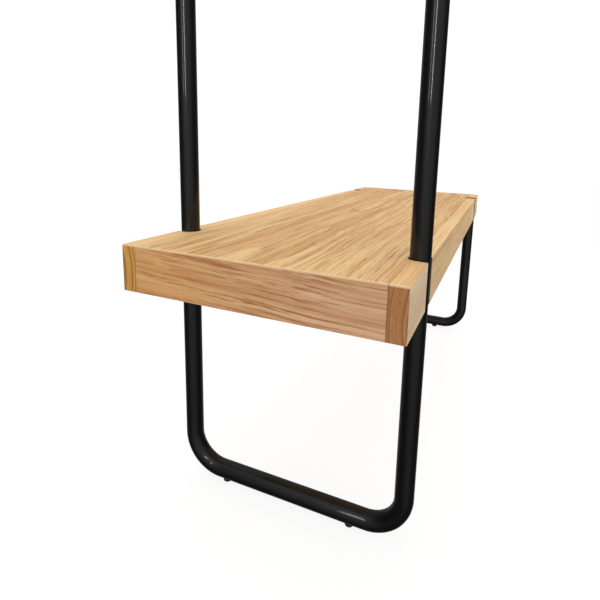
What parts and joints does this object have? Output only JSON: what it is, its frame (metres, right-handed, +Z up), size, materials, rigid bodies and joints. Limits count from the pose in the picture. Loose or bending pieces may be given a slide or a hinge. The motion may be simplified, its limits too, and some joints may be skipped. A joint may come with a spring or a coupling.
{
  "type": "desk hutch",
  "caption": "Long boxed oak shelf carried by two rounded black tube leg loops, with a tall rounded tube rail frame rising through slots at one end.",
  "frame": {"origin": "centre of the footprint, on the surface the glides stand on", "axes": "+X along the shelf away from the tall rail frame, +Y across the shelf, +Z up"},
  "size_m": [0.94, 0.352, 0.8],
  "materials": {
    "oak_face": "clear matt oiled oak, grain along the length",
    "oak_end": "clear matt oiled oak, grain across the end",
    "oak_edge": "clear matt oiled solid oak edging",
    "inner_wood": "planed, unfinished",
    "black_coat": "satin powder coat",
    "zinc": "bright zinc plate",
    "black_plastic": "moulded, fine texture"
  },
  "bodies": {
    "root": {"bottom_panel": "oak_edge", "end_board_left": "oak_end", "end_board_right": "oak_end", "end_cap_back": "black_plastic", "end_cap_front": "black_plastic", "glide_left_back": "black_plastic", "glide_left_front": "black_plastic", "glide_right_back": "black_plastic", "glide_right_front": "black_plastic", "leg_loop_left": "black_coat", "leg_loop_right": "black_coat", "mounting_block_left_back": "inner_wood", "mounting_block_left_front": "inner_wood", "mounting_block_right_back": "inner_wood", "mounting_block_right_front": "inner_wood", "mounting_plate_left_back": "black_coat", "mounting_plate_left_front": "black_coat", "mounting_plate_right_back": "black_coat", "mounting_plate_right_front": "black_coat", "plate_screw_left_back_1": "zinc", "plate_screw_left_back_2": "zinc", "plate_screw_left_front_1": "zinc", "plate_screw_left_front_2": "zinc", "plate_screw_right_back_1": "zinc", "plate_screw_right_back_2": "zinc", "plate_screw_right_front_1": "zinc", "plate_screw_right_front_2": "zinc", "rail_loop": "black_coat", "side_board_back_left": "oak_edge", "side_board_back_middle": "oak_edge", "side_board_back_right": "oak_edge", "side_board_front_left": "oak_edge", "side_board_front_middle": "oak_edge", "side_board_front_right": "oak_edge", "spigot_back": "zinc", "spigot_front": "zinc", "stiffener_back": "inner_wood", "stiffener_front": "inner_wood", "threaded_insert_left_back_1": "zinc", "threaded_insert_left_back_2": "zinc", "threaded_insert_left_front_1": "zinc", "threaded_insert_left_front_2": "zinc", "threaded_insert_right_back_1": "zinc", "threaded_insert_right_back_2": "zinc", "threaded_insert_right_front_1": "zinc", "threaded_insert_right_front_2": "zinc", "top_panel": "oak_face"}
  },
  "joints": []
}
